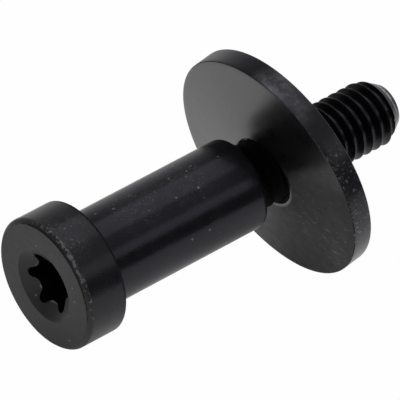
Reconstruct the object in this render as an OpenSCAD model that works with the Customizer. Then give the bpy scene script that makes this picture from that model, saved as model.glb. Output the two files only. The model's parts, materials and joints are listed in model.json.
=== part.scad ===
// Striker bolt with a loose dished washer, lying on the rim of its head and the rim of the washer.
// Lengths are in millimetres. The floor is z = 0, and the bolt points along +X from head to tip.

/* [Head] */
// Diameter of the round head
head_d = 19.05; // [16:0.05:22]
// Height of the head along the bolt
head_h = 6.35; // [4.5:0.05:9]
// Bevel around the front of the head
head_front_bevel = 0.5; // [0.2:0.05:0.9]
// Bevel around the back of the head
head_back_bevel = 0.25; // [0.1:0.05:0.6]

/* [Drive recess] */
// Size of the six-lobe recess across its points
lobe_points_d = 8.5; // [7.2:0.05:9.2]
// Radial depth of the lobes
lobe_depth = 1.2; // [0.9:0.05:1.5]
// Radius at the tip of each lobe
lobe_tip_r = 0.8; // [0.6:0.05:1]
// Depth of the straight recess below the face of the head
recess_depth = 4.8; // [3.5:0.1:6]
// Turn of the bolt about its own axis, from a lobe that points down
bolt_turn = 34; // [0:1:60]
// Width of the countersink outside the lobes
countersink_lip = 1.1; // [0.5:0.05:1.6]
// Full angle of the countersink
countersink_angle = 112; // [90:1:130]
// Diameter of the pilot drill point at the bottom of the recess
pilot_d = 5.2; // [3:0.1:5.4]
// Full angle of the drill point
pilot_angle = 118; // [90:1:140]

/* [Shank] */
// Diameter of the plain shank that the latch closes on
shank_d = 13.25; // [12:0.05:15.5]
// Length of the shank between the head and the shoulder
shank_l = 26.8; // [18:0.1:40]
// Bevel around the shoulder
shoulder_bevel = 0.35; // [0.1:0.05:0.8]

/* [Stud] */
// Outside diameter of the thread, 3/8 inch
stud_d = 9.525; // [8:0.005:11]
// Length of the stud from the shoulder to its tip
stud_l = 26.2; // [18:0.1:40]
// Distance from one turn of the thread to the next, 16 turns to the inch
thread_pitch = 1.5875; // [1.2:0.0125:2]
// Turn of the start of the thread, from the lobe that points down before the bolt is turned
thread_turn = 277; // [0:1:359]
// Length of the plain neck between the shoulder and the thread
neck_l = 1.3; // [0.5:0.1:4]
// Depth of the bevel around the tip, which goes in below the grooves of the thread
tip_bevel = 1.6; // [1.3:0.05:2.2]
// Length of the bevel around the tip
tip_bevel_l = 2.45; // [1:0.05:4]

/* [Washer] */
// Outside diameter of the washer
washer_d = 33.9; // [28:0.1:40]
// Thickness of the washer
washer_t = 3.15; // [2:0.05:4]
// Height by which the washer is dished towards the head
washer_dish = 0.9; // [0.2:0.05:1.8]
// Bevel around the rim and the hole of the washer
washer_bevel = 0.2; // [0.1:0.05:0.35]
// Clearance between the stud and the hole of the washer
washer_clearance = 0.39; // [0.3:0.01:0.8]
// Gap that is left at the lips of the hole where the washer leans on the stud
lean_gap = 0.1; // [0.04:0.01:0.2]
// Distance along the bolt from the shoulder to the front lip of the washer
washer_offset = 4.6; // [2:0.1:12]

/* [Hidden] */
$fn = 96;
// Amount by which a cutting shape runs past the surface that it cuts
over = 0.5;

head_r = head_d / 2;
shank_r = shank_d / 2;
stud_r = stud_d / 2;
tip_r = stud_r - tip_bevel;
washer_r = washer_d / 2;
hole_r = stud_r + washer_clearance;

// Distances along the bolt, from the face of the head
shoulder_s = head_h + shank_l;
thread_s = shoulder_s + neck_l;
tip_s = shoulder_s + stud_l;
washer_s = shoulder_s + washer_offset + washer_t / 2;

// The thread has flanks at 30 degrees to the radius, a crest an eighth and a groove a fifth of the pitch wide
crest_w = thread_pitch / 8;
groove_w = thread_pitch / 5;
flank_w = (thread_pitch - crest_w - groove_w) / 2;
thread_depth = flank_w / tan(30);
// One turn in section: distance from the middle of the crest, and depth below it
thread_section = [
    [-crest_w / 2 - flank_w, thread_depth],
    [-crest_w / 2, 0],
    [crest_w / 2, 0],
    [crest_w / 2 + flank_w, thread_depth]
];
thread_steps = 24;
thread_turns = ceil((tip_s - thread_s) / thread_pitch);
// Rows of points that follow the thread, with spare turns that fold flat against both ends
spare_turns = 2;
thread_rows = 4 * (thread_turns + 2 * spare_turns);
// The plain neck is a little thinner than the core of the thread
neck_undercut = 0.03;
neck_r = stud_r - thread_depth - neck_undercut;

// The six lobes: centres of the outer arcs, the waist between them, and the inner arcs that touch both
lobe_count = 6;
lobe_step = 360 / lobe_count;
lobe_centre = lobe_points_d / 2 - lobe_tip_r;
waist_r = lobe_points_d / 2 - lobe_depth;
lobe_reach = lobe_centre * cos(lobe_step / 2);
waist_arc_r = (lobe_tip_r^2 - lobe_centre^2 - waist_r^2 + 2 * waist_r * lobe_reach)
    / (2 * (waist_r - lobe_reach - lobe_tip_r));
waist_centre = waist_r + waist_arc_r;
lobe_half = atan2(waist_centre * sin(lobe_step / 2), waist_centre * cos(lobe_step / 2) - lobe_centre);
arc_steps = 8;
waist_step = (2 * lobe_half - lobe_step) / arc_steps;
countersink_r = lobe_points_d / 2 + countersink_lip;

// The washer tips until both lips of its hole all but touch the stud
hole_wall = washer_t - 2 * washer_bevel;
lean = acos((stud_d + 2 * lean_gap) / norm([2 * hole_r, hole_wall])) - atan(hole_wall / (2 * hole_r));

// Lowest point of the washer's front rim: how far along the bolt it lies, and how far below the bolt's axis
rim_s = washer_dish + washer_bevel - washer_t / 2;
contact_s = washer_s + rim_s * cos(lean) + washer_r * sin(lean);
contact_drop = washer_r * cos(lean) - rim_s * sin(lean);

// The bolt rises from the head to the washer, so that both rims touch the floor
rise = atan((contact_drop - head_r) / (contact_s - head_front_bevel));
axis_z = head_r * cos(rise) - head_front_bevel * sin(rise);
back_x = -(head_r - head_front_bevel) * sin(rise);
front_x = tip_s * cos(rise) + tip_r * sin(rise);

// Points along an arc about a centre, from the first angle to the last
function arc(centre, radius, first, last, steps) = [
    for (i = [0 : steps])
        let (angle = first + (last - first) * i / steps)
        centre + radius * [cos(angle), sin(angle)]
];

// One sixth of the six-lobe outline: the outer arc of the lobe at the given angle, then the inner arc after it
function lobe_outline(angle) = concat(
    arc(lobe_centre * [cos(angle), sin(angle)], lobe_tip_r, angle - lobe_half, angle + lobe_half, arc_steps),
    arc(
        waist_centre * [cos(angle + lobe_step / 2), sin(angle + lobe_step / 2)],
        waist_arc_r,
        angle + lobe_half + 180 - waist_step,
        angle + lobe_step - lobe_half + 180 + waist_step,
        arc_steps - 2
    )
);

// Largest radius that the neck and the bevelled tip leave for the thread at a place along the bolt
function thread_limit(s) = min(
    stud_r,
    neck_r + s - thread_s,
    tip_r + (tip_s - s) * tip_bevel / tip_bevel_l
);

// Point of the thread on a row, a number of steps round the bolt
function thread_point(row, step) =
    let (
        section = thread_section[row % 4],
        turn = floor(row / 4) - spare_turns + step / thread_steps,
        s = min(max(thread_s + turn * thread_pitch + section[0], thread_s), tip_s),
        r = min(stud_r - section[1], thread_limit(s)),
        angle = thread_turn + 360 * step / thread_steps
    )
    [r * cos(angle), r * sin(angle), s];

// Ring of points around the stud at a place along the bolt, in line with the steps of the thread
function stud_ring(r, s) = [
    for (step = [0 : thread_steps - 1])
        let (angle = thread_turn + 360 * step / thread_steps)
        [r * cos(angle), r * sin(angle), s]
];

// Lays the bolt down: its own +Z runs from the face of the head to the tip, and its own +X points down
module lay_down() {
    translate([-(back_x + front_x) / 2, 0, axis_z])
        rotate([0, 90 - rise, 0])
            children();
}

// Head and shank, turned about the bolt's own axis
module turned_blank() {
    rotate_extrude()
        polygon([
            [0, 0],
            [head_r - head_front_bevel, 0],
            [head_r, head_front_bevel],
            [head_r, head_h - head_back_bevel],
            [head_r - head_back_bevel, head_h],
            [shank_r, head_h],
            [shank_r, shoulder_s - shoulder_bevel],
            [shank_r - shoulder_bevel, shoulder_s],
            [0, shoulder_s]
        ]);
}

// Neck, right-handed thread and bevelled tip as one closed body, which starts inside the shank
module threaded_stud() {
    n = thread_steps;
    lattice = [for (row = [0 : thread_rows - 1]) for (step = [0 : n - 1]) thread_point(row, step)];
    points = concat(stud_ring(neck_r, shoulder_s - over), lattice, stud_ring(tip_r, tip_s));
    tip = n * (thread_rows + 1);
    // Past the last step, a row runs on into the row one turn above it
    function at(row, step) = n + (step < n ? row * n + step : (row + 4) * n + step - n);
    neck = [for (i = [0 : n - 1]) [i, (i + 1) % n, at(0, (i + 1) % n), at(0, i)]];
    thread = [
        for (row = [0 : thread_rows - 6]) for (step = [0 : n - 1])
            [at(row, step), at(row, step + 1), at(row + 1, step + 1), at(row + 1, step)]
    ];
    corners = [for (q = concat(neck, thread)) each [[q[0], q[2], q[1]], [q[0], q[3], q[2]]]];
    // Triangles that the folded spare turns leave with no area are dropped
    function apart(a, b) = norm(points[a] - points[b]) > 1e-6;
    whole = [for (c = corners) if (apart(c[0], c[1]) && apart(c[1], c[2]) && apart(c[2], c[0])) c];
    ends = [[for (i = [0 : n - 1]) i], [for (i = [0 : n - 1]) tip + n - 1 - i]];
    polyhedron(points, concat(whole, ends));
}

// Straight six-lobe prism, with outer and inner arcs that run into each other
module six_lobe_prism(height) {
    linear_extrude(height)
        polygon([for (k = [0 : lobe_count - 1]) each lobe_outline(k * lobe_step)]);
}

// Cone that opens towards the face of the head, with its wide end of the given radius at z = 0
module cone_in(radius, angle) {
    cylinder(h = radius / tan(angle / 2), r1 = radius, r2 = 0);
}

// Everything that is cut into the face of the head
module drive_recess() {
    translate([0, 0, -over])
        six_lobe_prism(recess_depth + over);
    translate([0, 0, -over])
        cone_in(countersink_r + over * tan(countersink_angle / 2), countersink_angle);
    translate([0, 0, recess_depth])
        cone_in(pilot_d / 2, pilot_angle);
}

module striker_bolt() {
    color("#2c2c30")
        lay_down()
            rotate(bolt_turn)
                difference() {
                    union() {
                        turned_blank();
                        threaded_stud();
                    }
                    drive_recess();
                }
}

module washer() {
    front = -washer_t / 2;
    back = washer_t / 2;
    color("#38373c")
        lay_down()
            translate([0, 0, washer_s])
                rotate([0, -lean, 0])
                    rotate_extrude()
                        polygon([
                            [hole_r, front + washer_bevel],
                            [hole_r + washer_bevel, front],
                            [washer_r - washer_bevel, front + washer_dish],
                            [washer_r, front + washer_dish + washer_bevel],
                            [washer_r, back + washer_dish - washer_bevel],
                            [washer_r - washer_bevel, back + washer_dish],
                            [hole_r + washer_bevel, back],
                            [hole_r, back - washer_bevel]
                        ]);
}

striker_bolt();
washer();
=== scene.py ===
"""Black striker bolt with a loose dished washer, lying on the rim of its head and the rim of the washer.

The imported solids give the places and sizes. This script makes the detailed meshes around them, their
finishes, a white floor, soft studio light and the camera.
"""

import json
import logging
import math
from dataclasses import dataclass, field
from enum import IntEnum

import bmesh
import bpy
from mathutils import Matrix, Vector


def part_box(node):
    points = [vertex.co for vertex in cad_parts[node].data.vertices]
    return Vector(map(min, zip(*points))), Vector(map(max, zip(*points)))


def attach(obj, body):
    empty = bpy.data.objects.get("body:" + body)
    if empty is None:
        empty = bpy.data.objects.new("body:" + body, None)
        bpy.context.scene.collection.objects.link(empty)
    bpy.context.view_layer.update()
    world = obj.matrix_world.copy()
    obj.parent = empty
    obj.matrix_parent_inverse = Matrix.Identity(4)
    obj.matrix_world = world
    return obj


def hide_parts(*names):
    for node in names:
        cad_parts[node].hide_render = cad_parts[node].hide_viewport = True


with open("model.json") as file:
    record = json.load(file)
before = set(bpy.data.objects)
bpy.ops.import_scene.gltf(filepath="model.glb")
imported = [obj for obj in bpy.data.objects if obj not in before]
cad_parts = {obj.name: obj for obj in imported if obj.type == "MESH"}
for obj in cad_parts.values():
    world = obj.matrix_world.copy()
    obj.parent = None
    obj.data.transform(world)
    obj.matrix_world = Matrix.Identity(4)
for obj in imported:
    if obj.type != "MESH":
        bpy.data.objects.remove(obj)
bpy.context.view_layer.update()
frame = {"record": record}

LOG = logging.getLogger("striker_bolt")
MM = 0.001
TURN = 2 * math.pi
BODY = "root"
# Angle in degrees above which an edge stays sharp
SHARP_ANGLE = 30.0
# Range that the noise texture mostly keeps to
NOISE_LOW = 0.3
NOISE_HIGH = 0.7

Colour = tuple[float, float, float, float]
Profile = list[tuple[float, float]]
Ring = list[bmesh.types.BMVert]


def linear(hex_colour: str) -> Colour:
    """Turns an sRGB hex colour into linear values.

    Args:
        hex_colour: Six hex digits after a hash sign.

    Returns:
        Linear red, green and blue, and an alpha of one.
    """
    channels = [int(hex_colour[i : i + 2], 16) / 255 for i in (1, 3, 5)]
    red, green, blue = (c / 12.92 if c <= 0.04045 else ((c + 0.055) / 1.055) ** 2.4 for c in channels)
    return red, green, blue, 1.0


def add_node(
    tree: bpy.types.NodeTree,
    kind: str,
    inputs: dict[str | int, object] | None = None,
    **settings: object,
) -> bpy.types.Node:
    """Adds one node with its settings, values and links.

    Args:
        tree: Node tree that takes the node.
        kind: Blender's name for the kind of node.
        inputs: Socket names or numbers, each with a value or with the output that feeds it.
        settings: Properties of the node itself.

    Returns:
        The new node.
    """
    node = tree.nodes.new(kind)
    for name, value in settings.items():
        setattr(node, name, value)
    for key, value in (inputs or {}).items():
        if isinstance(value, bpy.types.NodeSocket):
            tree.links.new(value, node.inputs[key])
        else:
            node.inputs[key].default_value = value
    return node


def polar(azimuth: float, elevation: float) -> Vector:
    """Direction from the object, with both angles in degrees and an azimuth of 0 along +X."""
    across, up = math.radians(azimuth), math.radians(elevation)
    return Vector((math.cos(across) * math.cos(up), math.sin(across) * math.cos(up), math.sin(up)))


def rounded(corners: list[tuple[float, float, float]], steps: int = 5) -> Profile:
    """Rounds the corners of a section line.

    Args:
        corners: Radius from the axis, height along it and rounding of each corner, in millimetres.
        steps: Number of short lines in each rounded corner.

    Returns:
        Points of the section, radius first, from the first corner to the last.
    """
    line: Profile = []
    for index, (radius, height, rounding) in enumerate(corners):
        here = Vector((radius, height))
        if rounding <= 0 or index in (0, len(corners) - 1):
            line.append((radius, height))
            continue
        before = (Vector(corners[index - 1][:2]) - here).normalized()
        after = (Vector(corners[index + 1][:2]) - here).normalized()
        half = before.angle(after) / 2
        reach = rounding / math.tan(half)
        centre = here + (before + after).normalized() * (rounding / math.sin(half))
        first = here + before * reach - centre
        last = here + after * reach - centre
        sweep = first.angle_signed(last)
        for step in range(steps + 1):
            angle = -sweep * step / steps
            spoke = Matrix.Rotation(angle, 2) @ first
            line.append(tuple(centre + spoke))
    return line


@dataclass
class Skin:
    """Mesh in the making, in millimetres, with two marks on each point and a finish on each face.

    The edge mark is 1 where knocks take the coat off, and round the lip of the washer's hole, where it is
    strongest at one side as a painted highlight. The dull mark is 1 where the coat is drawn dull: in a patch
    on the washer's face, and as painted shade along the corners of the head and at the start of the shank.
    """

    mesh: bmesh.types.BMesh = field(default_factory=bmesh.new)

    def __post_init__(self) -> None:
        """Adds the layers that hold the marks."""
        self.edge = self.mesh.verts.layers.float.new("edge")
        self.dry = self.mesh.verts.layers.float.new("dry")

    def point(
        self, place: tuple[float, float, float], edge: float = 0.0, dry: float = 0.0
    ) -> bmesh.types.BMVert:
        """Adds one point.

        Args:
            place: Where it is.
            edge: Its edge mark.
            dry: Its dull mark, which on the bolt is painted shade.

        Returns:
            The new point.
        """
        vert = self.mesh.verts.new(place)
        vert[self.edge] = edge
        vert[self.dry] = dry
        return vert

    def ring(
        self,
        radii: list[float],
        heights: list[float],
        angles: list[float],
        edges: list[float] | None = None,
        dry: list[float] | None = None,
    ) -> Ring:
        """Adds a closed ring of points about the axis.

        Args:
            radii: Distance of each point from the axis.
            heights: Height of each point along the axis.
            angles: Angle of each point about the axis.
            edges: Edge mark of each point, or none for no marks.
            dry: Dull mark of each point, which on the bolt is painted shade, or none for no marks.

        Returns:
            The points of the ring.
        """
        none = [0.0] * len(angles)
        return [
            self.point((r * math.cos(a), r * math.sin(a), z), edge, dull)
            for r, z, a, edge, dull in zip(radii, heights, angles, edges or none, dry or none)
        ]

    def strip(self, lower: Ring, upper: Ring, finish: int) -> None:
        """Joins two rings of as many points with a band of faces.

        Args:
            lower: The first ring.
            upper: The next ring.
            finish: Number of the finish on the band.
        """
        for i in range(len(lower)):
            self.face([lower[i - 1], lower[i], upper[i], upper[i - 1]], finish)

    def face(self, points: Ring, finish: int) -> None:
        """Adds one smooth face.

        Args:
            points: Its corners, in order.
            finish: Number of its finish.
        """
        made = self.mesh.faces.new(points)
        made.material_index = finish
        made.smooth = True

    def cap(self, centre: bmesh.types.BMVert, ring: Ring, finish: int) -> None:
        """Closes a ring with triangles that meet in one point.

        Args:
            centre: The point in the middle.
            ring: The ring that is closed.
            finish: Number of the finish on the triangles.
        """
        for i in range(len(ring)):
            self.face([ring[i - 1], ring[i], centre], finish)

    def piece(self, name: str, place: Matrix) -> bpy.types.Object:
        """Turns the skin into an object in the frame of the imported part.

        Args:
            name: Name of the object.
            place: Frame that the points were measured in, in metres.

        Returns:
            The new object, at the origin, with its place in its mesh.
        """
        bmesh.ops.remove_doubles(self.mesh, verts=self.mesh.verts, dist=1e-4)
        bmesh.ops.recalc_face_normals(self.mesh, faces=self.mesh.faces)
        data = bpy.data.meshes.new(name)
        self.mesh.to_mesh(data)
        self.mesh.free()
        data.transform(place @ Matrix.Scale(MM, 4))
        data.set_sharp_from_angle(angle=math.radians(SHARP_ANGLE))
        made = bpy.data.objects.new(name, data)
        bpy.context.scene.collection.objects.link(made)
        return made


@dataclass(frozen=True)
class Scuff:
    """Rubbed patch on a piece, in millimetres: scratches over a pale haze, full within its core."""

    centre: tuple[float, float, float]
    reach: float
    density: float = 1.0
    haze: float = 0.06
    core: float = 0.2


@dataclass(frozen=True)
class PhosphatedSteel:
    """Manganese phosphate on turned steel, oiled: a near-black crystal coat with a satin gloss.

    The crystals are dark, and the oil between them gives a soft, low reflection. Where the dull mark is set,
    the
    coat is drawn dull: black on the bolt, as painted shade, and grey on the washer's face. Where it is
    rubbed, grey steel shows, as nicks on edges, as fine scratches and as a painted highlight on the lip of
    the washer's hole.
    """

    name: str
    dark: str
    pale: str
    roughness: float
    roughness_swing: float = 0.05
    ior: float = 1.4
    gloss: str = "#ffffff"
    mottle_mm: float = 2.2
    # The crystals are about 0.02 mm across, and are drawn coarser so that they show
    grain_mm: float = 0.22
    grain_depth_mm: float = 0.003
    mottle_depth_mm: float = 0.012
    # Colour where the dull mark is set: near black on the bolt, where it is painted shade along the head's
    # corners
    dull: str = "#0a0a0b"
    dull_roughness: float = 0.85
    dull_border: float = 0.3
    dull_ragged: float = 1.0
    dull_mm: float = 0.6
    nick_mm: float = 0.5
    nick_level: float = 0.62
    nick_border: float = 0.25
    specks: float = 0.0
    speck_mm: float = 1.3
    # Largest speck and its soft border, as shares of the specks' spacing, and how well it covers
    speck_r: float = 0.16
    speck_border: float = 0.06
    speck_cover: float = 0.45
    speck: str = "#a9a8a4"
    wear: float = 0.5
    steel: str = "#8f8f94"
    steel_roughness: float = 0.4
    # Scratches: width, width over length, level above which they show, directions, and dots over width
    scratch_mm: float = 0.2
    scratch_stretch: float = 0.3
    scratch_level: float = 0.92
    scratch_tilt: tuple[float, float] = (0.4, 0.3)
    scratch_turns: tuple[float, ...] = (0.3, 1.4, 2.4)
    dot_ratio: float = 1.5
    haze_mm: float = 0.9
    scuffs: tuple[Scuff, ...] = ()

    def material(self, place: Matrix) -> bpy.types.Material:
        """Builds the material.

        Args:
            place: Frame of the piece that the pattern is fixed to.

        Returns:
            The new material.
        """
        made = bpy.data.materials.new(self.name)
        made.use_nodes = True
        tree = made.node_tree
        tree.nodes.clear()
        coords = add_node(tree, "ShaderNodeTexCoord")
        local = add_node(
            tree,
            "ShaderNodeMapping",
            {
                "Vector": coords.outputs["Object"],
                "Location": place.to_translation(),
                "Rotation": place.to_euler(),
            },
            vector_type="TEXTURE",
        ).outputs["Vector"]
        mottle = self.blotches(tree, local, self.mottle_mm, 3.0)
        grain = self.blotches(tree, local, self.grain_mm, 2.0)
        tint = add_node(
            tree, "ShaderNodeMix", {0: 0.5, 2: mottle, 3: grain}, data_type="FLOAT"
        ).outputs[0]
        # Share of the dull coat, which on the bolt is painted shade
        dry = self.dull_and_shade_share(tree, local)
        bare = self.bare_share(tree, local)
        coat = add_node(
            tree,
            "ShaderNodeMix",
            {0: tint, 6: linear(self.dark), 7: linear(self.pale)},
            data_type="RGBA",
        ).outputs[2]
        dulled = add_node(
            tree, "ShaderNodeMix", {0: dry, 6: coat, 7: linear(self.dull)}, data_type="RGBA"
        ).outputs[2]
        colour = add_node(
            tree, "ShaderNodeMix", {0: bare, 6: dulled, 7: linear(self.steel)}, data_type="RGBA"
        ).outputs[2]
        if self.specks:
            colour = add_node(
                tree,
                "ShaderNodeMix",
                {0: self.speck_share(tree, local), 6: colour, 7: linear(self.speck)},
                data_type="RGBA",
            ).outputs[2]
        coat_roughness = add_node(
            tree,
            "ShaderNodeMapRange",
            {
                "Value": tint,
                "To Min": self.roughness - self.roughness_swing,
                "To Max": self.roughness + self.roughness_swing,
            },
        ).outputs[0]
        dull_and_shade_roughness = add_node(
            tree, "ShaderNodeMix", {0: dry, 2: coat_roughness, 3: self.dull_roughness}, data_type="FLOAT"
        ).outputs[0]
        roughness = add_node(
            tree, "ShaderNodeMix", {0: bare, 2: dull_and_shade_roughness, 3: self.steel_roughness}, data_type="FLOAT"
        ).outputs[0]
        waves = add_node(
            tree,
            "ShaderNodeBump",
            {"Height": mottle, "Strength": 1.0, "Distance": self.mottle_depth_mm * MM},
        ).outputs["Normal"]
        bump = add_node(
            tree,
            "ShaderNodeBump",
            {"Height": grain, "Strength": 1.0, "Distance": self.grain_depth_mm * MM, "Normal": waves},
        ).outputs["Normal"]
        shader = add_node(
            tree,
            "ShaderNodeBsdfPrincipled",
            {
                "Base Color": colour,
                "Metallic": bare,
                "Roughness": roughness,
                "IOR": self.ior,
                "Specular Tint": linear(self.gloss),
                "Normal": bump,
            },
        )
        add_node(tree, "ShaderNodeOutputMaterial", {"Surface": shader.outputs["BSDF"]})
        return made

    def blotches(
        self,
        tree: bpy.types.NodeTree,
        local: bpy.types.NodeSocket,
        size_mm: float,
        detail: float,
    ) -> bpy.types.NodeSocket:
        """Adds soft blotches of a given size, from 0 to 1.

        Args:
            tree: Node tree of the material.
            local: Place on the piece.
            size_mm: Size of the blotches.
            detail: Number of finer layers in them.

        Returns:
            The value at each place.
        """
        cloud = add_node(
            tree,
            "ShaderNodeTexNoise",
            {"Vector": local, "Scale": 1 / (size_mm * MM), "Detail": detail},
        ).outputs["Fac"]
        return add_node(
            tree, "ShaderNodeMapRange", {"Value": cloud, "From Min": NOISE_LOW, "From Max": NOISE_HIGH}
        ).outputs[0]

    def dull_and_shade_share(self, tree: bpy.types.NodeTree, local: bpy.types.NodeSocket) -> bpy.types.NodeSocket:
        """Adds the share of dull coat around the dull marks, which on the bolt are painted shade, with a
        ragged border.

        Args:
            tree: Node tree of the material.
            local: Place on the piece.

        Returns:
            The share at each place.
        """
        mark = add_node(tree, "ShaderNodeAttribute", attribute_name="dry").outputs["Fac"]
        ragged = self.blotches(tree, local, self.dull_mm, 3.0)
        total = add_node(
            tree, "ShaderNodeMath", {0: ragged, 1: self.dull_ragged, 2: mark}, operation="MULTIPLY_ADD"
        ).outputs[0]
        start = 0.5 + self.dull_ragged / 2
        return add_node(
            tree,
            "ShaderNodeMapRange",
            {"Value": total, "From Min": start, "From Max": start + self.dull_border},
        ).outputs[0]

    def bare_share(self, tree: bpy.types.NodeTree, local: bpy.types.NodeSocket) -> bpy.types.NodeSocket:
        """Adds the share of bare steel: nicks on edges, a painted highlight on the lip of the washer's hole,
        and scratches in the scuffed patches.

        Args:
            tree: Node tree of the material.
            local: Place on the piece.

        Returns:
            The share at each place.
        """
        mark = add_node(tree, "ShaderNodeAttribute", attribute_name="edge").outputs["Fac"]
        knocks = self.blotches(tree, local, self.nick_mm, 3.0)
        total = add_node(tree, "ShaderNodeMath", {0: mark, 1: knocks}, operation="ADD").outputs[0]
        share = add_node(
            tree,
            "ShaderNodeMapRange",
            {
                "Value": total,
                "From Min": 1 + self.nick_level,
                "From Max": 1 + self.nick_level + self.nick_border,
                "To Max": self.wear,
            },
        ).outputs[0]
        if not self.scuffs:
            return share
        lines = self.scratches(tree, local)
        cloud = self.blotches(tree, local, self.haze_mm, 3.0)
        for scuff in self.scuffs:
            away = add_node(
                tree,
                "ShaderNodeVectorMath",
                {0: local, 1: [MM * c for c in scuff.centre]},
                operation="DISTANCE",
            ).outputs["Value"]
            near = add_node(
                tree,
                "ShaderNodeMapRange",
                {
                    "Value": away,
                    "From Min": scuff.reach * MM,
                    "From Max": scuff.core * scuff.reach * MM,
                },
                interpolation_type="SMOOTHSTEP",
            ).outputs[0]
            haze = add_node(
                tree, "ShaderNodeMath", {0: cloud, 1: scuff.haze}, operation="MULTIPLY"
            ).outputs[0]
            full = add_node(
                tree, "ShaderNodeMath", {0: lines, 1: scuff.density, 2: haze}, operation="MULTIPLY_ADD"
            ).outputs[0]
            patch = add_node(tree, "ShaderNodeMath", {0: near, 1: full}, operation="MULTIPLY").outputs[0]
            share = add_node(tree, "ShaderNodeMath", {0: share, 1: patch}, operation="MAXIMUM").outputs[0]
        return share

    def scratches(self, tree: bpy.types.NodeTree, local: bpy.types.NodeSocket) -> bpy.types.NodeSocket:
        """Adds fine scratches in three directions, with small knocks between them.

        Args:
            tree: Node tree of the material.
            local: Place on the piece.

        Returns:
            The share of bare steel in a patch of full density.
        """
        total = self.blotches(tree, local, self.dot_ratio * self.scratch_mm, 2.0)
        for turn in self.scratch_turns:
            along = add_node(
                tree,
                "ShaderNodeMapping",
                {
                    "Vector": local,
                    "Rotation": (*self.scratch_tilt, turn),
                    "Scale": (1.0, self.scratch_stretch, 1.0),
                },
            ).outputs["Vector"]
            line = self.blotches(tree, along, self.scratch_mm, 2.0)
            total = add_node(tree, "ShaderNodeMath", {0: total, 1: line}, operation="MAXIMUM").outputs[0]
        return add_node(
            tree,
            "ShaderNodeMapRange",
            {"Value": total, "From Min": self.scratch_level, "From Max": 1.0, "To Max": self.wear},
        ).outputs[0]

    def speck_share(self, tree: bpy.types.NodeTree, local: bpy.types.NodeSocket) -> bpy.types.NodeSocket:
        """Adds sparse specks of pale dust.

        Args:
            tree: Node tree of the material.
            local: Place on the piece.

        Returns:
            The share of dust at each place.
        """
        cells = add_node(
            tree, "ShaderNodeTexVoronoi", {"Vector": local, "Scale": 1 / (self.speck_mm * MM)}
        )
        pick = add_node(tree, "ShaderNodeSeparateColor", {0: cells.outputs["Color"]}).outputs[0]
        size = add_node(
            tree,
            "ShaderNodeMapRange",
            {"Value": pick, "From Min": 1 - self.specks, "From Max": 1.0, "To Max": self.speck_r},
        ).outputs[0]
        inside = add_node(
            tree, "ShaderNodeMath", {0: size, 1: cells.outputs["Distance"]}, operation="SUBTRACT"
        ).outputs[0]
        return add_node(
            tree,
            "ShaderNodeMapRange",
            {"Value": inside, "From Min": 0.0, "From Max": self.speck_border, "To Max": self.speck_cover},
        ).outputs[0]


class BoltFinish(IntEnum):
    """Finishes of the bolt, in the order of its material slots."""

    FACE = 0
    UNLIT = 1
    SIDE = 2
    SHANK = 3
    THREAD = 4


class WasherFinish(IntEnum):
    """Finishes of the washer, in the order of its material slots."""

    FACE = 0
    RIM = 1


@dataclass(frozen=True)
class Run:
    """Stretch of a turned surface: its finish, the corners of its section, its edge mark and its dull mark of
    painted shade.
    """

    finish: int
    corners: list[tuple[float, float, float]]
    edge: float = 0.0
    dry: float = 0.0


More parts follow.
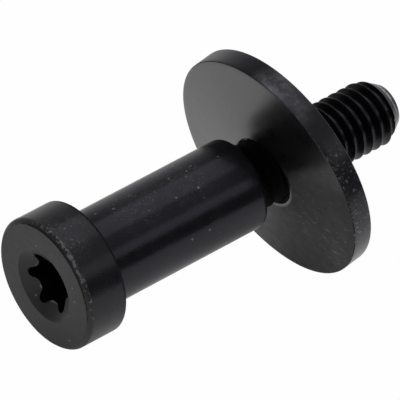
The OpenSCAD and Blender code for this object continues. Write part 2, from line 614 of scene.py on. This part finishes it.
@dataclass
class StrikerBolt:
    """Round-headed bolt with a six-lobe recess, a plain shank and a shouldered threaded stud.

    Lengths are in millimetres. The bolt's own +Z runs from the face of the head to the tip, its own +X
    points down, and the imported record's mounts say where it lies.
    """

    columns: int = 192
    head_h: float = 6.35
    head_front_bevel: float = 0.5
    head_back_bevel: float = 0.25
    lobes: int = 6
    lobe_points_d: float = 8.5
    lobe_depth: float = 1.2
    lobe_tip_r: float = 0.8
    recess_depth: float = 4.8
    bolt_turn: float = 34.0
    countersink_lip: float = 1.1
    countersink_angle: float = 112.0
    pilot_d: float = 5.2
    pilot_angle: float = 118.0
    shoulder_bevel: float = 0.35
    pitch: float = 25.4 / 16
    thread_turn: float = 277.0
    neck_l: float = 1.3
    neck_undercut: float = 0.03
    tip_bevel: float = 1.6
    tip_bevel_l: float = 2.45
    # Thread: flanks, shares of the pitch, points of half a rounded crest, and points down a flank
    flank_angle: float = 30.0
    crest_share: float = 1 / 8
    groove_share: float = 1 / 5
    crest: tuple[tuple[float, float], ...] = ((0.035, 0.0), (0.06, 0.008), (0.08, 0.024))
    flank_depths: tuple[float, ...] = (0.2, 0.38, 0.56, 0.72)
    root_drop: float = 0.06
    root_reach: float = 0.08
    # Length of thread in the shade of the washer
    shaded_l: float = 3.5
    # Grooves that the bevelled tip cuts off: least depth, distance from the bevel, and edge mark
    run_out_depth: float = 0.4
    run_out_low: float = -0.05
    run_out_high: float = 0.25
    run_out_mark: float = 1.6
    # Waists of the recess: where their lips start, as a share of the lobes' depth, and their edge mark
    waist_lip: float = 0.8
    waist_mark: float = 1.5
    # Share of the countersink's radius at which its rounded edge starts
    mouth_lip: float = 0.97
    # Side of the head with the most knocks on its edges and the most painted shade along its corners
    knock_and_shade_angle: float = 222.0
    knock_and_shade_base: float = 0.3
    knock_and_shade_swing: float = 0.75

    def __post_init__(self) -> None:
        """Takes the bolt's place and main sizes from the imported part."""
        mounts = {mount["name"]: mount for mount in frame["record"]["mounts"]}
        start = Vector(mounts["drive_recess"]["pos_m"])
        along = Vector(mounts["threaded_stud"]["axis"]).normalized()
        across = Vector((0.0, 1.0, 0.0))
        down = across.cross(along)
        self.place = Matrix.Translation(start) @ Matrix((down, across, along)).transposed().to_4x4()
        low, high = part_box("striker_bolt")
        self.head_r = (high.y - low.y) / 2 / MM
        self.shank_r = mounts["latch_shank"]["dims"]["r_mm"]
        self.stud_r = mounts["threaded_stud"]["dims"]["r_mm"]
        self.shoulder_s = self.head_h + mounts["latch_shank"]["dims"]["length_mm"]
        self.tip_s = self.shoulder_s + mounts["threaded_stud"]["dims"]["length_mm"]
        self.tip_r = self.stud_r - self.tip_bevel
        self.flank_slope = math.tan(math.radians(self.flank_angle))
        flank_w = self.pitch * (1 - self.crest_share - self.groove_share) / 2
        self.thread_depth = flank_w / self.flank_slope
        self.neck_r = self.stud_r - self.thread_depth - self.neck_undercut
        self.mouth_r = self.lobe_points_d / 2 + self.countersink_lip
        self.flat_r = self.lobe_points_d / 2 - self.waist_lip * self.lobe_depth
        self.angles: list[float] = []

    def countersink_s(self, radius: float) -> float:
        """Depth of the countersink at a distance from the axis: a cone, and flat lips at the waists."""
        reach = self.mouth_r - max(radius, self.flat_r)
        return reach / math.tan(math.radians(self.countersink_angle / 2))

    def star(self) -> list[Vector]:
        """Outline of the six-lobe recess: outer arcs at the lobes, and inner arcs that touch them.

        Returns:
            As many points as the bolt has columns, before the bolt is turned.
        """
        half_step = math.pi / self.lobes
        centre = self.lobe_points_d / 2 - self.lobe_tip_r
        waist = self.lobe_points_d / 2 - self.lobe_depth
        reach = centre * math.cos(half_step)
        inner = (self.lobe_tip_r**2 - centre**2 - waist**2 + 2 * waist * reach) / (
            2 * (waist - reach - self.lobe_tip_r)
        )
        inner_centre = waist + inner
        opening = math.atan2(
            inner_centre * math.sin(half_step), inner_centre * math.cos(half_step) - centre
        )
        steps = self.columns // self.lobes // 2
        outline = []
        for lobe in range(self.lobes):
            middle = 2 * half_step * lobe
            spoke = Vector((math.cos(middle), math.sin(middle)))
            for i in range(steps):
                angle = middle - opening + 2 * opening * i / steps
                outline.append(centre * spoke + self.lobe_tip_r * Vector((math.cos(angle), math.sin(angle))))
            spoke = Vector((math.cos(middle + half_step), math.sin(middle + half_step)))
            first = middle + opening + math.pi
            last = middle + 2 * half_step - opening + math.pi
            for i in range(steps):
                angle = first + (last - first) * i / steps
                outline.append(inner_centre * spoke + inner * Vector((math.cos(angle), math.sin(angle))))
        return outline

    def build_recess(self, skin: Skin) -> Ring:
        """Adds the drill point, the six-lobe walls and the countersink.

        Args:
            skin: Mesh that takes the faces.

        Returns:
            The ring at the mouth of the countersink.
        """
        turn = math.radians(self.bolt_turn)
        outline = self.star()
        star_r = [p.length for p in outline]
        star_a = [math.atan2(p.y, p.x) % TURN for p in outline]
        middle = self.columns // 2
        star_a = [a - TURN if i < middle and a > math.pi * 1.5 else a for i, a in enumerate(star_a)]
        even_a = [star_a[0] + TURN * i / self.columns for i in range(self.columns)]
        pilot_r = self.pilot_d / 2
        apex = skin.point((0, 0, self.recess_depth + pilot_r / math.tan(math.radians(self.pilot_angle / 2))))
        angles = [a + turn for a in star_a]
        count = self.columns
        # The edge of the recess is broken in steps: below the countersink, half-way, and out on it
        below, half, out = 0.12, 0.05, 0.14
        broken_s = [self.countersink_s(r + 2 * half) + half for r in star_r]
        walls = [
            skin.ring([pilot_r] * count, [self.recess_depth] * count, angles),
            skin.ring(star_r, [self.recess_depth] * count, angles),
            skin.ring(star_r, [self.countersink_s(r) + below for r in star_r], angles),
            skin.ring([r + half for r in star_r], broken_s, angles),
        ]
        # The recess is drawn with the near black painted shade
        skin.cap(apex, walls[0], BoltFinish.UNLIT)
        for lower, upper in zip(walls, walls[1:]):
            skin.strip(lower, upper, BoltFinish.UNLIT)
        last = walls[-1]
        for share in (0.0, 0.2, 0.4, 0.6, 0.8, self.mouth_lip):
            radii = [(r + out) * (1 - share) + self.mouth_r * share for r in star_r]
            spread = [a * (1 - share) + e * share + turn for a, e in zip(star_a, even_a)]
            lips = [self.waist_mark if share == 0.0 and r < self.flat_r else 0.0 for r in star_r]
            ring = skin.ring(radii, [self.countersink_s(r) for r in radii], spread, lips)
            skin.strip(last, ring, BoltFinish.FACE)
            last = ring
        self.angles = [a + turn for a in even_a]
        return last

    def build_turned(self, skin: Skin, last: Ring) -> None:
        """Adds the face and side of the head, the shank, the shoulder and the neck of the thread.

        Args:
            skin: Mesh that takes the faces.
            last: Ring at the mouth of the countersink.
        """
        count = self.columns
        for run in self.runs():
            section = rounded(run.corners)
            for index, (radius, height) in enumerate(section[1:], 1):
                inside = index < len(section) - 1
                edges = [run.edge * self.knocks_and_shade(a) if inside else 0.0 for a in self.angles]
                # The painted shade along the corners is strongest on one side of the head
                dull = [run.dry * self.knocks_and_shade(a) ** 2 if inside else 0.0 for a in self.angles]
                ring = skin.ring([radius] * count, [height] * count, self.angles, edges, dull)
                skin.strip(last, ring, run.finish)
                last = ring

    def runs(self) -> list[Run]:
        """Lists the stretches of the turned surface, each of which starts where the one before it ends.

        Returns:
            The stretches, from the mouth of the countersink to the start of the thread.
        """
        head, shank, neck = self.head_r, self.shank_r, self.neck_r
        under, shoulder = self.head_h, self.shoulder_s
        bevel, back, foot = self.head_front_bevel, self.head_back_bevel, self.shoulder_bevel
        lip = self.mouth_lip * self.mouth_r
        mouth_start = (lip, self.countersink_s(lip), 0)
        face_end = (head - bevel - 0.15, 0, 0)
        bevel_start = (head - bevel + 0.11, 0.11, 0)
        side_start = (head, bevel + 0.3, 0)
        side_end = (head, under - back - 0.2, 0)
        under_head = (head - 2 * back, under, 0)
        shank_start = (shank, under + 0.6, 0)
        shank_end = (shank, shoulder - foot - 0.4, 0)
        shoulder_edge = (shank - 2 * foot, shoulder, 0)
        neck_end = (neck, shoulder + self.neck_l, 0)
        return [
            Run(BoltFinish.FACE, [mouth_start, (self.mouth_r, 0, 0.15), face_end], edge=0.7),
            # Painted shade: a thin dull black line along the front corner of the head
            Run(BoltFinish.FACE, [face_end, (head - bevel, 0, 0.25), bevel_start], edge=0.3, dry=1.15),
            Run(BoltFinish.FACE, [bevel_start, (head, bevel, 0.7), side_start], edge=1.2),
            Run(BoltFinish.SIDE, [side_start, side_end]),
            # Painted shade: a dull black ring in the corner under the head, running on to the start of the
            # shank
            Run(BoltFinish.SIDE, [side_end, (head, under, back), under_head], dry=2.2),
            Run(BoltFinish.SHANK, [under_head, (shank, under, 0.3), shank_start], dry=0.5),
            Run(BoltFinish.SHANK, [shank_start, shank_end]),
            Run(BoltFinish.SHANK, [shank_end, (shank, shoulder, foot), shoulder_edge]),
            # The neck is drawn with the near black painted shade
            Run(BoltFinish.UNLIT, [shoulder_edge, (neck, shoulder, 0.3), neck_end]),
        ]

    def knocks_and_shade(self, angle: float) -> float:
        """Share of the knocks and of the painted shade at an angle: most at the upper right of the head, as
        seen from its face.
        """
        turned = math.cos(angle - math.radians(self.knock_and_shade_angle))
        return max(0.0, self.knock_and_shade_base + self.knock_and_shade_swing * turned)

    def envelope(self, height: float) -> float:
        """Works out how far the neck and the bevelled tip cut the thread back.

        Args:
            height: Height along the bolt.

        Returns:
            The largest radius of the thread there.
        """
        from_neck = self.neck_r + height - self.shoulder_s - self.neck_l
        from_tip = self.tip_r + (self.tip_s - height) * self.tip_bevel / self.tip_bevel_l
        return min(self.stud_r, from_neck, from_tip)

    def run_out(self, height: float, depth: float) -> bool:
        """Tells where a groove runs out on the bevelled tip, which leaves a bright burr.

        Args:
            height: Height of a point along the bolt.
            depth: Depth of the thread's section at that point.

        Returns:
            Whether the point lies there.
        """
        below = self.stud_r - depth - self.envelope(height)
        on_tip = height > self.tip_s - self.tip_bevel_l
        return on_tip and depth > self.run_out_depth and self.run_out_low < below < self.run_out_high

    def thread_section(self) -> Profile:
        """One turn of the thread: distance along the bolt from the crest, and depth below it.

        Returns:
            Points from one groove to the next, without the last one.
        """
        depth, half = self.thread_depth, self.pitch / 2
        near, top = self.crest[-1]
        depths = (*self.flank_depths, depth - self.root_drop)
        flank = [(near + (d - top) * self.flank_slope, d) for d in depths]
        side = [*self.crest, *flank, (flank[-1][0] + self.root_reach, depth)]
        return [(-half, depth), *((-z, d) for z, d in reversed(side)), (0.0, 0.0), *side]

    def build_thread(self, skin: Skin) -> None:
        """Adds the thread, right-handed, and the end of the stud.

        Args:
            skin: Mesh that takes the faces.
        """
        start, end = self.shoulder_s + self.neck_l, self.tip_s
        section = self.thread_section()
        turns = math.ceil((end - start) / self.pitch)
        zero = math.radians(self.bolt_turn + self.thread_turn)
        rows = []
        # Spare turns before and after the thread fold flat against its ends
        for turn in range(-2, turns + 4):
            for along, depth in section:
                row = []
                for angle in self.angles:
                    z = start + (turn + (angle - zero) / TURN) * self.pitch + along
                    z = min(max(z, start), end)
                    r = min(self.stud_r - depth, self.envelope(z))
                    edge = self.run_out_mark if self.run_out(z, depth) else 0.0
                    row.append(skin.point((r * math.cos(angle), r * math.sin(angle), z), edge))
                rows.append(row)
        per_turn = len(section)
        for index, (lower, upper) in enumerate(zip(rows, rows[1:])):
            # The thread in the washer's shade gets the near black painted shade
            finish = BoltFinish.UNLIT if lower[0].co.z < start + self.shaded_l else BoltFinish.THREAD
            for i in range(1, self.columns):
                skin.face([lower[i - 1], lower[i], upper[i], upper[i - 1]], finish)
            if index + 1 + per_turn < len(rows):
                next_lower, next_upper = rows[index + per_turn], rows[index + 1 + per_turn]
                skin.face([lower[-1], next_lower[0], next_upper[0], upper[-1]], finish)
        count = self.columns
        rim = skin.ring([self.tip_r] * count, [end] * count, self.angles)
        flat = skin.ring([self.tip_r * 0.9] * count, [end] * count, self.angles)
        skin.strip(rim, flat, BoltFinish.THREAD)
        skin.cap(skin.point((0, 0, end)), flat, BoltFinish.THREAD)

    def build(self) -> bpy.types.Object:
        """Builds the whole bolt as one closed skin.

        Returns:
            The bolt.
        """
        skin = Skin()
        mouth = self.build_recess(skin)
        self.build_turned(skin, mouth)
        self.build_thread(skin)
        made = skin.piece("bolt_body", self.place)
        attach(made, BODY)
        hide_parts("striker_bolt")
        return made

    def dress(self, piece: bpy.types.Object) -> None:
        """Gives each part of the bolt its finish.

        Args:
            piece: The bolt.
        """
        side_scuffs = (
            Scuff((-9.0, -3.0, 1.8), 3.6, 0.7),
            Scuff((-7.6, -5.8, 1.9), 3.2, 0.8),
            Scuff((-9.0, -3.0, 3.8), 2.5, 0.6),
        )
        shank_scuffs = (
            Scuff((-6.5, -1.2, 15.0), 7.0, 0.5),
            Scuff((-6.4, -1.6, 23.0), 7.0, 0.5),
        )
        finishes = (
            # An even dark grey with a few pale specks, because the face is rough
            PhosphatedSteel(
                "phosphated_head_face",
                "#080809",
                "#2c2c2b",
                0.5,
                roughness_swing=0.1,
                mottle_mm=1.2,
                specks=0.35,
                speck_mm=1.0,
            ),
            # Near black painted shade, in the recess, at the neck and on the thread in the shade of the
            # washer
            PhosphatedSteel("dry_phosphate_in_hollows", "#010101", "#030304", 0.7, ior=1.16),
            # Satin black with soft streaks of light, and pale rubbed patches near the front edge
            PhosphatedSteel(
                "phosphated_head_side",
                "#0e0d0f",
                "#1b1a1d",
                0.25,
                ior=1.35,
                gloss="#f4f0ff",
                scuffs=side_scuffs,
                specks=0.2,
            ),
            # Smoother than the head, so that the room shows as long soft streaks
            PhosphatedSteel(
                "phosphated_shank",
                "#0b0b0d",
                "#17161a",
                0.21,
                ior=1.34,
                gloss="#f0ebff",
                scuffs=shank_scuffs,
                specks=0.3,
            ),
            # Black with fine pale lines along the crests, and bare metal where the grooves run out
            PhosphatedSteel(
                "oiled_rolled_thread",
                "#050506",
                "#0a0a0c",
                0.22,
                ior=1.35,
                gloss="#f0ebff",
                wear=0.8,
                steel="#c4c4c8",
            ),
        )
        for finish in finishes:
            piece.data.materials.append(finish.material(self.place))


@dataclass(frozen=True)
class SidedMark:
    """Mark that is strongest at one angle: its lowest value, its rise and that angle in degrees."""

    base: float
    rise: float
    angle: float

    def at(self, angle: float) -> float:
        """Mark at an angle about the axis."""
        return self.base + self.rise * max(0.0, math.cos(angle - math.radians(self.angle)))


@dataclass
class Washer:
    """Dished washer that leans on the thread. Lengths are in millimetres."""

    columns: int = 240
    thickness: float = 3.15
    dish: float = 0.9
    bevel: float = 0.2
    clearance: float = 0.39
    lean_gap: float = 0.1
    offset: float = 4.6
    # Widths of the bands beside the hole and inside the rim, and half the width of the plain rim
    lip_w: float = 0.6
    edge_w: float = 0.8
    rim_half: float = 0.7
    knocks: SidedMark = SidedMark(0.5, 0.45, 275.0)
    # Bare steel round the lip of the hole: a little all round as rubbing, and strongest at one side as a
    # painted highlight
    lip_rub_and_highlight: SidedMark = SidedMark(0.3, 1.5, 325.0)
    # Dull part of the front face, in degrees: where it starts, how far it rises, stays full and fades
    dull_start: float = 242.0
    dull_rise: float = 26.0
    dull_full: float = 60.0
    dull_fade: float = 140.0
    dull_base: float = 0.4
    dull_top: float = 1.5

    def build(self, bolt: StrikerBolt) -> bpy.types.Object:
        """Builds the washer as one closed ring.

        Args:
            bolt: The bolt that it hangs on.

        Returns:
            The washer.
        """
        low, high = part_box("washer")
        outer = (high.y - low.y) / 2 / MM
        hole = bolt.stud_r + self.clearance
        wall = self.thickness - 2 * self.bevel
        across = 2 * (bolt.stud_r + self.lean_gap)
        lean = math.acos(across / math.hypot(2 * hole, wall)) - math.atan(wall / (2 * hole))
        middle = bolt.shoulder_s + self.offset + self.thickness / 2
        self.place = (
            bolt.place
            @ Matrix.Translation((0, 0, middle * MM))
            @ Matrix.Rotation(-lean, 4, "Y")
        )
        front = -self.thickness / 2
        inner = hole + self.lip_w / 2
        section = self.section(hole, outer)
        angles = [TURN * i / self.columns for i in range(self.columns)]
        count = self.columns
        skin = Skin()
        rings = []
        for radius, height in section:
            at_edge = radius > outer - self.edge_w / 2 and abs(height - self.dish) > 1.5 * self.rim_half
            at_lip = radius < inner and height < front / 2
            on_face = inner < radius < outer and height < 0
            # The lip's mark paints a highlight on one side of the hole
            mark = self.knocks if at_edge else self.lip_rub_and_highlight if at_lip else None
            edges = [mark.at(a) if mark else 0.0 for a in angles]
            dry = [self.dulled(a) if on_face else 0.0 for a in angles]
            rings.append(skin.ring([radius] * count, [height] * count, angles, edges, dry))
        for index, ring in enumerate(rings):
            radius = max(section[index - 1][0], section[index][0])
            finish = WasherFinish.RIM if radius > outer - self.bevel / 4 else WasherFinish.FACE
            skin.strip(rings[index - 1], ring, finish)
        made = skin.piece("loose_washer", self.place)
        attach(made, BODY)
        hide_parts("washer")
        return made

    def section(self, hole: float, outer: float) -> Profile:
        """Section of the washer, once around.

        Args:
            hole: Radius of the hole.
            outer: Radius of the rim.

        Returns:
            Points from the wall of the hole along the front face, the rim and the back face.
        """
        front, back = -self.thickness / 2, self.thickness / 2
        half_way = (hole + outer) / 2
        slope = self.dish / (outer - hole)
        before_edge = self.dish - self.edge_w * slope
        corners = [
            (hole, 0, 0),
            (hole, front, self.bevel),
            (hole + self.lip_w, front + self.lip_w * slope, 0),
            (half_way, front + self.dish / 2, 0),
            (outer - self.edge_w, front + before_edge, 0),
            (outer, front + self.dish, self.bevel),
            (outer, self.dish - self.rim_half, 0),
            (outer, self.dish + self.rim_half, 0),
            (outer, back + self.dish, self.bevel),
            (outer - self.edge_w, back + before_edge, 0),
            (half_way, back + self.dish / 2, 0),
            (hole, back, self.bevel),
            (hole, 0, 0),
        ]
        return rounded(corners)[:-1]

    def dulled(self, angle: float) -> float:
        """Dull mark of the front face: full at the side of the shank, and fading out around the bottom.

        Args:
            angle: Angle about the axis of the washer.

        Returns:
            The mark at that angle.
        """
        past = (math.degrees(angle) - self.dull_start) % 360
        rise = min(1.0, past / self.dull_rise)
        fall = min(1.0, max(0.0, (past - self.dull_full) / self.dull_fade))
        return self.dull_base + (self.dull_top - self.dull_base) * rise * (1 - fall)

    def dress(self, piece: bpy.types.Object) -> None:
        """Gives the washer its finishes.

        Args:
            piece: The washer.
        """
        face_scuffs = (
            Scuff((5.0, -9.5, -1.2), 11.0, 0.7, 0.12),
            Scuff((10.0, -11.5, -0.8), 7.0, 1.0, 0.18),
            Scuff((-4.0, -15.0, -0.8), 4.0, 0.8),
        )
        rim_scuffs = (
            Scuff((-15.6, -6.4, 0.0), 4.2, 0.3, 0.5),
            Scuff((-13.6, -10.0, -0.1), 3.8, 0.2, 0.3),
            Scuff((-4.5, -16.3, 1.0), 6.0, 0.9),
            Scuff((3.5, -16.5, 1.0), 6.0, 1.0),
        )
        finishes = (
            # Grey where it mirrors the floor, black where it mirrors the shank, dull and scratched low down
            PhosphatedSteel(
                "phosphated_washer_face",
                "#080809",
                "#1f1f1f",
                0.3,
                roughness_swing=0.04,
                ior=1.64,
                grain_depth_mm=0.0025,
                mottle_depth_mm=0.006,
                dull="#2e2e2f",
                dull_roughness=0.9,
                dull_border=1.0,
                dull_ragged=0.2,
                dull_mm=1.3,
                scuffs=face_scuffs,
                scratch_mm=0.55,
                wear=0.35,
                haze_mm=1.6,
            ),
            # Satin black, with a pale rubbed cloud near the top and small bright knocks at the side
            PhosphatedSteel(
                "phosphated_washer_rim",
                "#0f0e11",
                "#1c1b1f",
                0.25,
                ior=1.36,
                gloss="#f4f0ff",
                scuffs=rim_scuffs,
                scratch_mm=0.45,
                wear=0.55,
                haze_mm=1.8,
            ),
        )
        for finish in finishes:
            piece.data.materials.append(finish.material(self.place))


@dataclass(frozen=True)
class Glow:
    """Soft light in the room: its direction in degrees, its level, where 1 is white, and its tightness."""

    azimuth: float
    elevation: float
    level: float
    tightness: float = 11.5


@dataclass(frozen=True)
class Lamp:
    """Square soft lamp that faces the object. Lengths are in metres, and a radiance of 1 is white."""

    name: str
    azimuth: float
    elevation: float
    size: float
    radiance: float
    distance: float = 0.6


@dataclass
class Studio:
    """White sheet, soft boxes above and at the front right, a white backdrop, a dim room and the camera."""

    sheet_sides: int = 96
    sheet_x: float = 0.16
    sheet_y: float = 0.087
    sheet_middle: tuple[float, float, float] = (0.06, 0.03, 0.0)
    # Azimuth of the camera from -Y, where 0 is the front of the part
    camera_azimuth: float = -38.8
    camera_elevation: float = 23.52
    camera_distance: float = 0.951
    camera_target: tuple[float, float, float] = (-0.002267, 0.000069, 0.01439)
    lens: float = 641.2
    seen_white: float = 0.985
    shade_reach: float = 0.018
    dim: float = 0.12
    glows: tuple[Glow, ...] = (
        Glow(5, 8, 0.4),
        Glow(42, 8, 0.4),
        Glow(80, 8, 0.55),
        Glow(0, 42, 0.6),
        Glow(60, 42, 0.2),
        Glow(200, 8, 0.6),
        Glow(240, 42, 0.8),
        Glow(115, 25, 0.35),
        Glow(300, 47, 0.3),
    )
    lamps: tuple[Lamp, ...] = (
        Lamp("soft_box_above", 0, 84, 0.44, 0.9),
        Lamp("soft_box_front_right", 298, 25, 0.18, 0.95),
    )

    def build(self) -> None:
        """Builds the floor, the room, the lamps and the camera."""
        self.build_floor()
        self.build_room()
        self.build_lamps()
        self.build_camera()

    def build_floor(self) -> None:
        """Adds the floor: white to the eye and in reflections, with the object's own shadow kept."""
        data = bpy.data.meshes.new("floor")
        count = self.sheet_sides
        middle = Vector(self.sheet_middle)
        half = Vector((self.sheet_x, self.sheet_y, 0.0))
        rim = [middle + polar(360 * i / count, 0) * half for i in range(count)]
        data.from_pydata(rim, [], [tuple(range(count))])
        floor = bpy.data.objects.new("floor", data)
        bpy.context.scene.collection.objects.link(floor)
        made = bpy.data.materials.new("white_acrylic_sheet")
        made.use_nodes = True
        tree = made.node_tree
        tree.nodes.clear()
        matt = add_node(tree, "ShaderNodeBsdfDiffuse", {"Color": linear("#f4f4f4")})
        glow = add_node(tree, "ShaderNodeEmission", {"Strength": 1.0})
        path = add_node(tree, "ShaderNodeLightPath")
        mirrored = add_node(
            tree,
            "ShaderNodeMath",
            {0: path.outputs["Is Glossy Ray"], 1: path.outputs["Is Transmission Ray"]},
            operation="MAXIMUM",
        ).outputs[0]
        # In reflections the floor's glow is darkened near the object by its ambient occlusion, as painted
        # shade
        open_air = add_node(tree, "ShaderNodeAmbientOcclusion", {"Distance": self.shade_reach}).outputs["AO"]
        dimmer = add_node(tree, "ShaderNodeMath", {0: mirrored, 1: open_air}, operation="MULTIPLY").outputs[0]
        seen = add_node(
            tree,
            "ShaderNodeMath",
            {0: path.outputs["Is Camera Ray"], 1: self.seen_white, 2: dimmer},
            operation="MULTIPLY_ADD",
        ).outputs[0]
        mixed = add_node(tree, "ShaderNodeMixShader", {0: seen, 1: matt.outputs[0], 2: glow.outputs[0]})
        add_node(tree, "ShaderNodeOutputMaterial", {"Surface": mixed.outputs[0]})
        data.materials.append(made)

    def build_room(self) -> None:
        """Adds the room: white to the eye, with a white backdrop behind the object and a dim front."""
        world = bpy.data.worlds.new("studio")
        world.use_nodes = True
        tree = world.node_tree
        tree.nodes.clear()
        towards = add_node(tree, "ShaderNodeTexCoord").outputs["Generated"]
        level: float | bpy.types.NodeSocket = self.dim
        for glow in self.glows:
            facing = add_node(
                tree,
                "ShaderNodeVectorMath",
                {0: towards, 1: polar(glow.azimuth, glow.elevation)},
                operation="DOT_PRODUCT",
            ).outputs["Value"]
            fall = add_node(
                tree,
                "ShaderNodeMath",
                {0: facing, 1: glow.tightness, 2: -glow.tightness},
                operation="MULTIPLY_ADD",
            ).outputs[0]
            soft = add_node(tree, "ShaderNodeMath", {0: fall}, operation="EXPONENT").outputs[0]
            level = add_node(
                tree, "ShaderNodeMath", {0: soft, 1: glow.level, 2: level}, operation="MULTIPLY_ADD"
            ).outputs[0]
        path = add_node(tree, "ShaderNodeLightPath")
        strength = add_node(
            tree, "ShaderNodeMix", {0: path.outputs["Is Camera Ray"], 2: level, 3: 1.0}, data_type="FLOAT"
        ).outputs[0]
        light = add_node(tree, "ShaderNodeBackground", {"Color": linear("#ffffff"), "Strength": strength})
        add_node(tree, "ShaderNodeOutputWorld", {"Surface": light.outputs[0]})
        bpy.context.scene.world = world

    def build_lamps(self) -> None:
        """Adds the soft lamps, which the camera doesn't see."""
        for lamp in self.lamps:
            place = polar(lamp.azimuth, lamp.elevation) * lamp.distance
            data = bpy.data.lights.new(lamp.name, "AREA")
            data.shape = "SQUARE"
            data.size = lamp.size
            data.energy = lamp.radiance * math.pi * lamp.size * lamp.size
            made = bpy.data.objects.new(lamp.name, data)
            made.location = place
            made.rotation_mode = "QUATERNION"
            made.rotation_quaternion = (-place).to_track_quat("-Z", "Y")
            made.visible_camera = False
            bpy.context.scene.collection.objects.link(made)

    def build_camera(self) -> None:
        """Adds the camera at the photograph's viewing angle."""
        back = polar(self.camera_azimuth - 90, self.camera_elevation)
        data = bpy.data.cameras.new("camera")
        data.lens = self.lens
        data.sensor_width = 36.0
        camera = bpy.data.objects.new("camera", data)
        camera.location = Vector(self.camera_target) + back * self.camera_distance
        camera.rotation_mode = "QUATERNION"
        camera.rotation_quaternion = (-back).to_track_quat("-Z", "Y")
        bpy.context.scene.collection.objects.link(camera)
        bpy.context.scene.camera = camera


def main() -> None:
    """Builds the bolt, the washer and the studio."""
    logging.basicConfig(level=logging.INFO)
    bpy.context.scene.view_settings.view_transform = "Standard"
    bolt = StrikerBolt()
    body = bolt.build()
    bolt.dress(body)
    LOG.info("%s has %d faces", body.name, len(body.data.polygons))
    washer = Washer()
    ring = washer.build(bolt)
    washer.dress(ring)
    LOG.info("%s has %d faces", ring.name, len(ring.data.polygons))
    Studio().build()


if __name__ == "__main__":
    main()
